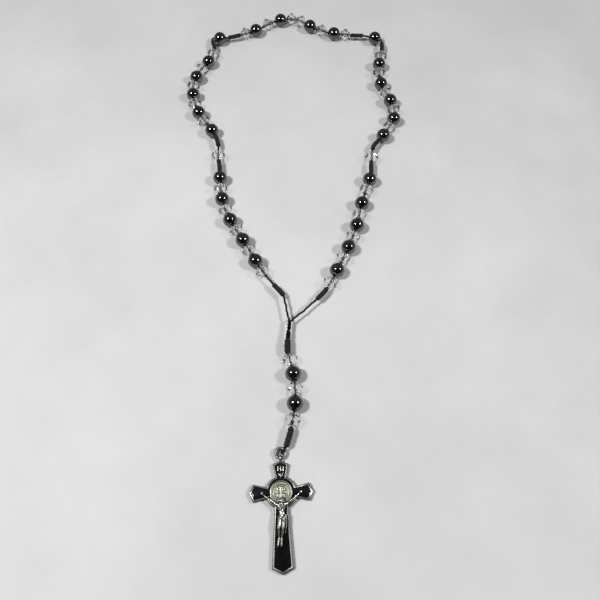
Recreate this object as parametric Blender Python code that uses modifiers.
"""A rope rosary laid flat: 28 round beads and 31 bicone crystals on a knotted cord, with a crucifix.

Lengths are in millimetres, turned into Blender's metres by MM.  +Z is up, the rosary lies on z = 0,
the loop is at +Y and the crucifix hangs towards -Y.
"""
import math

import bmesh
import bpy
from mathutils import Matrix, Vector

MM = 0.001
COLLECTION = "rope_rosary"
GAP = 0.3                       # clearance between neighbouring pieces

# --- beads, crystals, cord and knots ---------------------------------------------------------------
BEAD_RADIUS = 4.0
CRYSTAL_RADIUS = 4.0
CRYSTAL_LENGTH = 6.2
CRYSTAL_END_RADIUS = 1.6
CRYSTAL_BELT = 0.7              # length of the narrow band round its widest place
BORE_RADIUS = 1.0
CORD_RADIUS = 0.5
WRAP_RADIUS = 1.25
WRAP_LENGTH = 8.4
CORD_HEIGHT = BEAD_RADIUS       # the beads hold the cord at this height
BEAD_SIDES = 16
BEAD_ARCS = 6
CRYSTAL_SIDES = 8
CORD_POINT_STEP = 3.0           # longest stretch between two points of a cord
JOINT_REACH = 1.9               # how far from the middle of the fork its two cords begin
SHOULDER_STEP = 0.12            # length along the cord of a shoulder where it thickens
WRAP_END_SHARE = 0.85           # a wrap's radius at its two ends, against its middle
PAST_CRYSTAL = CRYSTAL_LENGTH / 2 + GAP
PAST_BEAD = BEAD_RADIUS + GAP
INSIDE_BEAD = BEAD_RADIUS - 1.0     # where a cord ends inside a bead's bore, measured from its middle

# --- the cord's routes: points on the table, chosen by hand ------------------------------------------
FORK = (-0.7, -54.2)
LEFT_ROUTE = [FORK, (-2.7, -45.0), (-4.2, -39.0), (-9.6, -32.4), (-15.0, -25.5), (-19.1, -18.6),
              (-26.1, -6.0), (-33.6, 6.8), (-38.8, 20.4), (-40.7, 34.8), (-41.6, 43.0), (-42.8, 51.4),
              (-43.4, 59.6), (-46.6, 68.4), (-56.2, 83.2), (-61.0, 98.2), (-60.4, 112.4),
              (-54.0, 125.0), (-50.9, 131.6), (-50.5, 138.4), (-52.0, 144.6), (-54.0, 148.6)]
TOP_ROUTE = [(-53.6, 146.4), (-47.6, 147.1), (-40.0, 148.5), (-32.0, 151.2), (-23.6, 154.9),
             (-16.4, 160.3), (-8.6, 164.5), (-1.4, 165.2), (5.2, 162.9), (11.2, 158.6), (18.6, 154.2),
             (27.0, 151.6), (36.0, 150.2), (46.4, 149.6), (53.7, 147.4), (59.4, 144.6)]
RIGHT_ROUTE = [FORK, (4.6, -49.6), (11.0, -43.6), (16.8, -37.6), (20.8, -31.2), (24.4, -23.8),
               (30.6, -10.4), (35.8, 3.6), (39.0, 18.0), (44.6, 35.4), (45.4, 43.0), (46.2, 50.6),
               (47.8, 58.4), (54.3, 67.0), (61.4, 80.3), (59.6, 94.4), (54.6, 107.6), (54.4, 122.6),
               (56.2, 131.0), (57.2, 138.0), (57.4, 143.6), (56.8, 148.0)]
DROP_ROUTE = [(-0.7, -53.5, 4.0), (-0.9, -57.5, 4.0), (-1.5, -63.6, 4.0), (-1.4, -70.4, 4.0),
              (0.4, -77.0, 4.0), (1.5, -81.9, 4.0), (2.3, -89.3, 4.0), (2.3, -96.8, 4.0),
              (1.2, -104.2, 4.0), (0.2, -109.4, 3.8), (-1.1, -114.2, 3.5), (-2.2, -117.4, 3.3)]

# --- what is threaded on each route, in order from its start -----------------------------------------
# ("bare", length), ("wrap", length, radius), ("crystal", name or None), ("bead", name)
LEFT_STRAND = [("bare", 15.0), ("wrap", WRAP_LENGTH, WRAP_RADIUS), ("bare", 6.2), ("crystal", None),
               ("bead", "bead_01"), ("crystal", "crystal_01"), ("bead", "bead_02"),
               ("crystal", "crystal_02"), ("bead", "bead_03"), ("crystal", "crystal_03"),
               ("bead", "bead_04"), ("crystal", "crystal_04"), ("bead", "bead_05"),
               ("wrap", WRAP_LENGTH, WRAP_RADIUS), ("crystal", "crystal_05"), ("bare", 3.6),
               ("wrap", WRAP_LENGTH, WRAP_RADIUS), ("bead", "bead_06"), ("bare", 1.6),
               ("crystal", "crystal_06"), ("bead", "bead_07"), ("bare", 0.5),
               ("crystal", "crystal_07"), ("bead", "bead_08"), ("crystal", "crystal_08"),
               ("bead", "bead_09"), ("crystal", "crystal_09"), ("bead", "bead_10"),
               ("crystal", None), ("bare", 0.4), ("wrap", WRAP_LENGTH, WRAP_RADIUS)]
TOP_STRAND = [("bare", 2.0), ("bead", "bead_11"), ("bare", 1.0), ("wrap", WRAP_LENGTH, WRAP_RADIUS),
              ("crystal", None), ("bead", "bead_12"), ("bare", 2.0), ("crystal", None), ("bare", 2.0),
              ("bead", "bead_13"), ("crystal", None), ("crystal", None), ("bead", "bead_14"),
              ("bare", 1.2), ("crystal", None), ("bare", 1.2), ("bead", "bead_15"),
              ("crystal", None), ("wrap", WRAP_LENGTH, WRAP_RADIUS), ("bare", 3.4),
              ("bead", "bead_16")]
RIGHT_STRAND = [("bare", 18.6), ("wrap", WRAP_LENGTH, WRAP_RADIUS), ("crystal", None),
                ("bare", 1.2), ("bead", "bead_26"), ("bare", 0.6), ("crystal", "crystal_18"),
                ("bead", "bead_25"),
                ("crystal", "crystal_17"), ("bead", "bead_24"), ("crystal", "crystal_16"),
                ("bead", "bead_23"), ("bare", 2.4), ("crystal", "crystal_15"), ("bead", "bead_22"),
                ("wrap", WRAP_LENGTH, WRAP_RADIUS), ("crystal", "crystal_14"), ("bare", 2.2),
                ("wrap", WRAP_LENGTH, WRAP_RADIUS), ("bead", "bead_21"), ("crystal", "crystal_13"),
                ("bead", "bead_20"), ("crystal", "crystal_12"), ("bead", "bead_19"),
                ("crystal", "crystal_11"), ("bead", "bead_18"), ("bare", 2.0),
                ("crystal", "crystal_10"), ("bead", "bead_17"), ("crystal", None),
                ("wrap", WRAP_LENGTH, WRAP_RADIUS)]
DROP_STRAND = [("wrap", 5.4, 1.1), ("wrap", 4.1, 1.3), ("wrap", 7.4, 1.6), ("crystal", None),
               ("bead", "bead_27"), ("crystal", None), ("bead", "bead_28"), ("crystal", None),
               ("wrap", 8.4, 1.3)]

# --- the jump ring and the cord's end loop round it --------------------------------------------------
RING_CENTRE = Vector((-4.4, -118.95, 1.75))
RING_RADIUS = 2.3
RING_WIRE_RADIUS = 0.7
LOOP_ANGLE = math.radians(50.0)         # where round the ring the cord's loop holds it
LOOP_RADIUS = 1.3
LOOP_CORD_RADIUS = 0.4
LOOP_START = math.radians(48.0)
LOOP_COVERAGE = math.radians(285.0)
LOOP_POINTS = 12

# --- the crucifix, in its own frame: origin at the medal's middle, y to its top ----------------------
CROSS_MIDDLE = Vector((-3.8, -136.3, 0.0))
CROSS_TURN = math.radians(2.2)
CROSS_APEX = 14.1
CROSS_SHOULDER = (3.7, 12.4)
CROSS_NECK = 2.5
ARM_TIP = 14.5
ARM_CORNER = (12.6, 3.9)
ARM_NECK = 2.5
SHAFT_NECK = 3.1
SHAFT_CORNER = (4.7, 31.2)
SHAFT_TIP = 33.6
HUB_RADIUS = 7.1
HUB_ARC_POINTS = 5
POINT_INSET = 1.15              # how far a pointed end draws in, against a straight side
CORNER_INSET = 0.75             # how far a corner draws in along its limb, against a straight side
FRAME_HEIGHT = 2.2
RIM_WIDTH = 0.8
RECESS_FLOOR = 1.0
ENAMEL_THICKNESS = 0.6
EYE_RADIUS = 1.3
EYE_WIRE_RADIUS = 0.42
MEDAL_RADIUS = 5.0
MEDAL_THICKNESS = 0.9
PLAQUE_SIZE = (3.0, 2.2, 0.5)
PLAQUE_MIDDLE = 10.3
MEDAL_EDGE = 0.2

# --- the figure on the crucifix, in the crucifix's frame: (x, y, height) and radius ------------------
HEAD_MIDDLE = (0.1, -3.6, 4.95)
HEAD_RADIUS = 1.35
TRUNK = [((0.0, -4.6, 4.6), 1.0), ((0.0, -5.6, 4.5), 1.5), ((0.1, -7.6, 4.3), 1.35),
         ((0.1, -9.6, 4.1), 1.2), ((0.2, -11.6, 4.1), 1.5), ((0.6, -14.6, 4.3), 1.25),
         ((0.3, -17.6, 3.9), 1.0), ((0.0, -20.4, 3.0), 0.75), ((-0.1, -21.6, 2.9), 0.55)]
ARMS = [((-9.2, 0.2, 3.0), 0.35), ((-8.6, -0.4, 3.0), 0.5), ((-5.6, -2.8, 3.9), 0.5),
        ((-2.2, -5.2, 4.3), 0.75), ((0.0, -5.6, 4.4), 1.0), ((2.2, -5.2, 4.3), 0.75),
        ((5.6, -2.8, 3.9), 0.5), ((8.6, -0.4, 3.0), 0.5), ((9.2, 0.2, 3.0), 0.35)]

# --- materials: colour, roughness, metallic, transmission --------------------------------------------
HEMATITE = ("hematite", (0.035, 0.037, 0.036, 1.0), 0.12, 0.75, 0.0)
CRYSTAL = ("clear_crystal", (0.93, 0.95, 0.96, 1.0), 0.03, 0.0, 0.9)
CORD = ("black_cord", (0.012, 0.012, 0.013, 1.0), 0.75, 0.0, 0.0)
SILVER = ("silver_alloy", (0.62, 0.61, 0.58, 1.0), 0.25, 1.0, 0.0)
ENAMEL = ("black_enamel", (0.004, 0.004, 0.006, 1.0), 0.08, 0.0, 0.0)
MEDAL = ("pale_silver", (0.60, 0.62, 0.52, 1.0), 0.4, 1.0, 0.0)
STEEL = ("ring_steel", (0.42, 0.42, 0.41, 1.0), 0.2, 1.0, 0.0)


# ------------------------------------------------------------------------------------------------------
# scene helpers
# ------------------------------------------------------------------------------------------------------
def clear_scene():
    for item in list(bpy.data.objects):
        bpy.data.objects.remove(item, do_unlink=True)


def new_collection(name):
    collection = bpy.data.collections.new(name)
    bpy.context.scene.collection.children.link(collection)
    return collection


def new_material(node, spec):
    name, colour, roughness, metallic, transmission = spec
    material = bpy.data.materials.new(f"{name}_{node}")
    material.use_nodes = True
    shader = material.node_tree.nodes["Principled BSDF"]
    shader.inputs["Base Color"].default_value = colour
    shader.inputs["Roughness"].default_value = roughness
    shader.inputs["Metallic"].default_value = metallic
    shader.inputs["Transmission Weight"].default_value = transmission
    material.diffuse_color = colour
    return material


def add_object(name, data, spec, collection):
    """A new object with its own material: on the object's slot, since repeated pieces share one mesh."""
    item = bpy.data.objects.new(name, data)
    collection.objects.link(item)
    if not data.materials:
        data.materials.append(None)
    item.material_slots[0].link = "OBJECT"
    item.material_slots[0].material = new_material(name, spec)
    return item


def as_mesh(item):
    """Turn a curve object into a mesh object of the same name, with its caps welded."""
    depsgraph = bpy.context.evaluated_depsgraph_get()
    mesh = bpy.data.meshes.new_from_object(item.evaluated_get(depsgraph))
    work = bmesh.new()
    work.from_mesh(mesh)
    bmesh.ops.remove_doubles(work, verts=work.verts, dist=0.00001)
    work.to_mesh(mesh)
    work.free()
    name = item.name
    matrix = item.matrix_world.copy()
    material = item.material_slots[0].material
    collection = item.users_collection[0]
    bpy.data.objects.remove(item, do_unlink=True)
    solid = bpy.data.objects.new(name, mesh)
    solid.matrix_world = matrix
    collection.objects.link(solid)
    if not mesh.materials:
        mesh.materials.append(None)
    solid.material_slots[0].link = "OBJECT"
    solid.material_slots[0].material = material
    return solid


def boolean(item, cutter, operation):
    modifier = item.modifiers.new(f"{operation}_{cutter.name}", "BOOLEAN")
    modifier.object = cutter
    modifier.operation = operation
    modifier.solver = "EXACT"
    cutter.hide_render = True
    cutter.display_type = "WIRE"


# ------------------------------------------------------------------------------------------------------
# routes
# ------------------------------------------------------------------------------------------------------
class Route:
    """A smooth curve (Catmull-Rom) through the route's points, read by the distance along it."""

    SAMPLES = 24

    def __init__(self, points):
        self.points = [Vector((p[0], p[1], p[2] if len(p) > 2 else CORD_HEIGHT)) for p in points]
        ends = [2 * self.points[0] - self.points[1], 2 * self.points[-1] - self.points[-2]]
        chain = [ends[0], *self.points, ends[1]]
        self.path = [self.points[0]]
        for a, b, c, d in zip(chain, chain[1:], chain[2:], chain[3:]):
            for step in range(1, self.SAMPLES + 1):
                t = step / self.SAMPLES
                self.path.append(0.5 * (2 * b + (c - a) * t + (2 * a - 5 * b + 4 * c - d) * t ** 2
                                        + (3 * b - a - 3 * c + d) * t ** 3))
        self.reach = [0.0]
        for a, b in zip(self.path, self.path[1:]):
            self.reach.append(self.reach[-1] + (b - a).length)
        self.length = self.reach[-1]

    def at(self, distance):
        """The point this far along, running straight on past either end."""
        if distance <= 0.0:
            return self.path[0] + (self.path[1] - self.path[0]).normalized() * distance
        for index in range(1, len(self.path)):
            if self.reach[index] >= distance:
                span = self.reach[index] - self.reach[index - 1]
                share = (distance - self.reach[index - 1]) / span
                return self.path[index - 1].lerp(self.path[index], share)
        onward = (self.path[-1] - self.path[-2]).normalized()
        return self.path[-1] + onward * (distance - self.length)

    def chord(self, start, end):
        """The middle and the direction of a straight bore from start to end, centred on the bend."""
        first, last = self.at(start), self.at(end)
        middle = ((first + last) / 2 + self.at((start + end) / 2)) / 2
        return middle, (last - first).normalized()


def lay_out(strand):
    """Stack a strand's pieces end to end: (kind, start, end, name or radius) in millimetres along it."""
    placed = []
    reach = 0.0
    for piece in strand:
        kind = piece[0]
        if kind == "bare":
            reach += piece[1]
            continue
        length = {"bead": 2 * BEAD_RADIUS, "crystal": CRYSTAL_LENGTH}.get(kind) or piece[1]
        if reach > 0.0:
            reach += GAP
        placed.append((kind, reach, reach + length, piece[2] if kind == "wrap" else piece[1]))
        reach += length
    return placed


def middle_of(placed, name):
    return next((start + end) / 2 for kind, start, end, what in placed if what == name)


# ------------------------------------------------------------------------------------------------------
# pieces on the cord
# ------------------------------------------------------------------------------------------------------
def turned_profile(name, outline):
    """A closed outline at +X, its outer side running from top to bottom, to be turned about Z."""
    work = bmesh.new()
    corners = [work.verts.new((x * MM, 0.0, z * MM)) for x, z in outline]
    for a, b in zip(corners, corners[1:] + corners[:1]):
        work.edges.new((a, b))
    mesh = bpy.data.meshes.new(name)
    work.to_mesh(mesh)
    work.free()
    return mesh


def bead_outline():
    mouth = math.asin(BORE_RADIUS / BEAD_RADIUS)
    angles = [mouth + (math.pi - 2 * mouth) * step / BEAD_ARCS for step in range(BEAD_ARCS + 1)]
    return [(BEAD_RADIUS * math.sin(a), BEAD_RADIUS * math.cos(a)) for a in angles]


def crystal_outline():
    half, belt = CRYSTAL_LENGTH / 2, CRYSTAL_BELT / 2
    return [(BORE_RADIUS, half), (CRYSTAL_END_RADIUS, half), (CRYSTAL_RADIUS, belt),
            (CRYSTAL_RADIUS, -belt), (CRYSTAL_END_RADIUS, -half), (BORE_RADIUS, -half)]


def turn(item, sides):
    screw = item.modifiers.new("turned", "SCREW")
    screw.axis = "Z"
    screw.steps = sides
    screw.render_steps = sides
    screw.use_merge_vertices = True
    screw.merge_threshold = 0.00005


def place_on(item, route, start, end):
    """Put an object between two distances, its Z axis along the route."""
    middle, direction = route.chord(start, end)
    item.location = middle * MM
    item.rotation_mode = "QUATERNION"
    item.rotation_quaternion = direction.to_track_quat("Z", "X")


def add_threaded(route, placed, meshes, collection):
    for kind, start, end, name in placed:
        if kind == "bead":
            item = add_object(name, meshes["bead"], HEMATITE, collection)
            turn(item, BEAD_SIDES)
        elif kind == "crystal" and name:
            item = add_object(name, meshes["crystal"], CRYSTAL, collection)
            turn(item, CRYSTAL_SIDES)
        else:
            continue
        place_on(item, route, start, end)


# ------------------------------------------------------------------------------------------------------
# cords: one tube per stretch, thicker where it is wrapped or where a crystal is joined to it
# ------------------------------------------------------------------------------------------------------
def cord_stations(placed, first, last):
    """(distance, radius) along one stretch, from its first to its last distance."""
    step = SHOULDER_STEP
    stations = [(first, CORD_RADIUS)]
    for kind, start, end, what in placed:
        if end <= first + step or start >= last - step:
            continue
        if kind == "wrap":
            mouth = what * WRAP_END_SHARE
            inner = [(start, CORD_RADIUS), (start + step, mouth), (start + 4 * step, what),
                     ((start + end) / 2, what), (end - 4 * step, what), (end - step, mouth),
                     (end, CORD_RADIUS)]
        elif kind == "crystal" and what is None:
            middle, belt = (start + end) / 2, CRYSTAL_BELT / 2
            inner = [(start, CORD_RADIUS), (start + step, CRYSTAL_END_RADIUS),
                     (middle - belt, CRYSTAL_RADIUS), (middle + belt, CRYSTAL_RADIUS),
                     (end - step, CRYSTAL_END_RADIUS), (end, CORD_RADIUS)]
        else:
            continue
        stations.extend(point for point in inner if first < point[0] < last)
    tail = (last, CORD_RADIUS)
    if stations[-1][1] > CORD_RADIUS or last - stations[-1][0] > step:
        stations.append(tail)
    filled = [stations[0]]
    for (a, radius_a), (b, radius_b) in zip(stations, stations[1:]):
        if radius_a == radius_b == CORD_RADIUS:
            count = int((b - a) // CORD_POINT_STEP)
            filled.extend((a + (b - a) * k / (count + 1), CORD_RADIUS) for k in range(1, count + 1))
        filled.append((b, radius_b))
    return filled


def tube(name, points, radii, spec, collection):
    curve = bpy.data.curves.new(name, "CURVE")
    curve.dimensions = "3D"
    curve.bevel_depth = CORD_RADIUS * MM
    curve.bevel_resolution = 2
    curve.use_fill_caps = True
    spline = curve.splines.new("POLY")
    spline.points.add(len(points) - 1)
    for slot, point, radius in zip(spline.points, points, radii):
        slot.co = (*(point * MM), 1.0)
        slot.radius = radius / CORD_RADIUS
    return add_object(name, curve, spec, collection)


def add_cord(name, route, placed, first, last, collection, extra=()):
    stations = cord_stations(placed, first, last)
    points = [route.at(distance) for distance, radius in stations]
    radii = [radius for distance, radius in stations]
    for point, radius in extra:
        points.append(point)
        radii.append(radius)
    return tube(name, points, radii, CORD, collection)


def end_loop():
    """The cord's end, taken once round the jump ring's wire."""
    outward = Vector((math.cos(LOOP_ANGLE), math.sin(LOOP_ANGLE), 0.0))
    held = RING_CENTRE + outward * RING_RADIUS
    turns = [LOOP_START + LOOP_COVERAGE * step / (LOOP_POINTS - 1) for step in range(LOOP_POINTS)]
    return [(held + outward * (LOOP_RADIUS * math.cos(a)) + Vector((0, 0, LOOP_RADIUS * math.sin(a))),
             LOOP_CORD_RADIUS) for a in turns]


# ------------------------------------------------------------------------------------------------------
# jump ring and crucifix
# ------------------------------------------------------------------------------------------------------
def to_cross(x, y, z):
    """A point of the crucifix's own frame, in millimetres of the world."""
    return CROSS_MIDDLE + Matrix.Rotation(CROSS_TURN, 3, "Z") @ Vector((x, y, z))


def add_ring(collection):
    bpy.ops.mesh.primitive_torus_add(major_segments=24, minor_segments=8, major_radius=RING_RADIUS * MM,
                                     minor_radius=RING_WIRE_RADIUS * MM, location=RING_CENTRE * MM)
    made = bpy.context.active_object
    mesh = made.data
    bpy.data.objects.remove(made, do_unlink=True)
    ring = add_object("jump_ring", mesh, STEEL, collection)
    ring.location = RING_CENTRE * MM
    return ring


def half_outline(inset):
    """The right half of the crucifix's outline, from its apex to its foot, drawn in by inset."""
    slope = POINT_INSET * inset
    corner = CORNER_INSET * inset
    hub = HUB_RADIUS - inset
    necks = [CROSS_NECK - inset, ARM_NECK - inset, ARM_NECK - inset, SHAFT_NECK - inset]
    upper = [math.acos(necks[0] / hub), math.asin(necks[1] / hub)]
    lower = [-math.asin(necks[2] / hub), -math.acos(necks[3] / hub)]

    def arc(first, last):
        steps = [first + (last - first) * k / (HUB_ARC_POINTS - 1) for k in range(HUB_ARC_POINTS)]
        return [(hub * math.cos(a), hub * math.sin(a)) for a in steps]

    return ([(0.0, CROSS_APEX - slope), (CROSS_SHOULDER[0] - inset, CROSS_SHOULDER[1] - corner)]
            + arc(*upper)
            + [(ARM_CORNER[0] - corner, ARM_CORNER[1] - inset), (ARM_TIP - slope, 0.0),
               (ARM_CORNER[0] - corner, inset - ARM_CORNER[1])]
            + arc(*lower)
            + [(SHAFT_CORNER[0] - inset, corner - SHAFT_CORNER[1]), (0.0, slope - SHAFT_TIP)])


def add_cross_plate(name, inset, bottom, top, spec, collection):
    """A flat plate of the crucifix's outline, between two heights."""
    right = half_outline(inset)
    left = [(-x, y) for x, y in reversed(right[1:-1])]
    curve = bpy.data.curves.new(name, "CURVE")
    curve.dimensions = "2D"
    curve.fill_mode = "BOTH"
    curve.extrude = (top - bottom) / 2 * MM
    spline = curve.splines.new("POLY")
    outline = right + left
    spline.points.add(len(outline) - 1)
    for slot, (x, y) in zip(spline.points, outline):
        slot.co = (x * MM, y * MM, 0.0, 1.0)
    spline.use_cyclic_u = True
    plate = add_object(name, curve, spec, collection)
    plate.location = (CROSS_MIDDLE + Vector((0.0, 0.0, (top + bottom) / 2))) * MM
    plate.rotation_euler = (0.0, 0.0, CROSS_TURN)
    bpy.context.view_layer.update()
    return as_mesh(plate)


def add_frame(collection, cutters):
    """The cast frame: a plate with a sunk field inside a raised rim, and the eye for the ring."""
    frame = add_cross_plate("crucifix_frame", 0.0, 0.0, FRAME_HEIGHT, SILVER, collection)
    field = add_cross_plate("enamel_field_cutter", RIM_WIDTH, RECESS_FLOOR, FRAME_HEIGHT + 1.0, SILVER,
                            cutters)
    boolean(frame, field, "DIFFERENCE")
    hole = RING_CENTRE - Vector((0.0, RING_RADIUS, 0.0))
    bpy.ops.mesh.primitive_torus_add(major_segments=16, minor_segments=8, major_radius=EYE_RADIUS * MM,
                                     minor_radius=EYE_WIRE_RADIUS * MM, location=hole * MM,
                                     rotation=(0.0, math.pi / 2, 0.0))
    made = bpy.context.active_object
    mesh = made.data
    matrix = made.matrix_world.copy()
    bpy.data.objects.remove(made, do_unlink=True)
    eye = add_object("eye_shape", mesh, SILVER, cutters)
    eye.matrix_world = matrix
    boolean(frame, eye, "UNION")
    return frame


def add_enamel(collection):
    bottom = RECESS_FLOOR + GAP
    return add_cross_plate("crucifix_enamel", RIM_WIDTH + GAP, bottom, bottom + ENAMEL_THICKNESS, ENAMEL,
                           collection)


def add_medal(collection):
    bottom = RECESS_FLOOR + ENAMEL_THICKNESS + 2 * GAP
    bpy.ops.mesh.primitive_cylinder_add(vertices=32, radius=MEDAL_RADIUS * MM, depth=MEDAL_THICKNESS * MM)
    made = bpy.context.active_object
    mesh = made.data
    bpy.data.objects.remove(made, do_unlink=True)
    medal = add_object("medal_disc", mesh, MEDAL, collection)
    medal.location = to_cross(0.0, 0.0, bottom + MEDAL_THICKNESS / 2) * MM
    bevel = medal.modifiers.new("soft_edge", "BEVEL")
    bevel.width = MEDAL_EDGE * MM
    bevel.segments = 1
    bevel.limit_method = "ANGLE"
    return medal


def add_plaque(collection):
    bottom = RECESS_FLOOR + ENAMEL_THICKNESS + 2 * GAP
    bpy.ops.mesh.primitive_cube_add(size=1.0)
    made = bpy.context.active_object
    mesh = made.data
    bpy.data.objects.remove(made, do_unlink=True)
    mesh.transform(Matrix.Diagonal((*[side * MM for side in PLAQUE_SIZE], 1.0)))
    plaque = add_object("title_plaque", mesh, SILVER, collection)
    plaque.location = to_cross(0.0, PLAQUE_MIDDLE, bottom + PLAQUE_SIZE[2] / 2) * MM
    plaque.rotation_euler = (0.0, 0.0, CROSS_TURN)
    return plaque


def limb(name, stations, collection):
    points = [to_cross(*point) for point, radius in stations]
    return as_mesh(tube(name, points, [radius for point, radius in stations], SILVER, collection))


def add_corpus(collection, cutters):
    """The figure: arms in one sweep from hand to hand, a trunk from the neck to the feet, and the head."""
    trunk = limb("corpus", TRUNK, collection)
    arms = limb("corpus_arms", ARMS, cutters)
    bpy.ops.mesh.primitive_uv_sphere_add(segments=12, ring_count=8, radius=HEAD_RADIUS * MM)
    made = bpy.context.active_object
    mesh = made.data
    bpy.data.objects.remove(made, do_unlink=True)
    head = add_object("corpus_head", mesh, SILVER, cutters)
    head.location = to_cross(*HEAD_MIDDLE) * MM
    boolean(trunk, arms, "UNION")
    boolean(trunk, head, "UNION")
    return trunk


# ------------------------------------------------------------------------------------------------------
# the rosary
# ------------------------------------------------------------------------------------------------------
def build():
    clear_scene()
    collection = new_collection(COLLECTION)
    cutters = new_collection(f"{COLLECTION}_cutters")
    meshes = {"bead": turned_profile("bead_profile", bead_outline()),
              "crystal": turned_profile("crystal_profile", crystal_outline())}
    left, top, right, drop = Route(LEFT_ROUTE), Route(TOP_ROUTE), Route(RIGHT_ROUTE), Route(DROP_ROUTE)
    on_left, on_top = lay_out(LEFT_STRAND), lay_out(TOP_STRAND)
    on_right, on_drop = lay_out(RIGHT_STRAND), lay_out(DROP_STRAND)
    for route, placed in ((left, on_left), (top, on_top), (right, on_right), (drop, on_drop)):
        add_threaded(route, placed, meshes, collection)

    left_hinge = middle_of(on_left, "crystal_05")
    right_hinge = middle_of(on_right, "crystal_14")
    add_cord("left_lower_cord", left, on_left, JOINT_REACH, left_hinge, collection)
    add_cord("left_upper_cord", left, on_left, left_hinge + PAST_CRYSTAL, on_left[-1][2], collection)
    add_cord("right_lower_cord", right, on_right, JOINT_REACH, right_hinge, collection)
    add_cord("right_upper_cord", right, on_right, right_hinge + PAST_CRYSTAL, on_right[-1][2], collection)
    corner_left = middle_of(on_top, "bead_11")
    corner_right = middle_of(on_top, "bead_16")
    add_cord("top_cord", top, on_top, corner_left - INSIDE_BEAD, corner_right + INSIDE_BEAD, collection)
    first_bead, last_bead = middle_of(on_drop, "bead_27"), middle_of(on_drop, "bead_28")
    add_cord("centre_knot", drop, on_drop, 0.0, first_bead + INSIDE_BEAD, collection)
    add_cord("drop_cord_upper", drop, on_drop, first_bead + PAST_BEAD, last_bead + INSIDE_BEAD, collection)
    add_cord("drop_cord_lower", drop, on_drop, last_bead + PAST_BEAD, on_drop[-1][2], collection,
             end_loop())

    add_ring(collection)
    add_frame(collection, cutters)
    add_enamel(collection)
    add_medal(collection)
    add_plaque(collection)
    add_corpus(collection, cutters)


build()
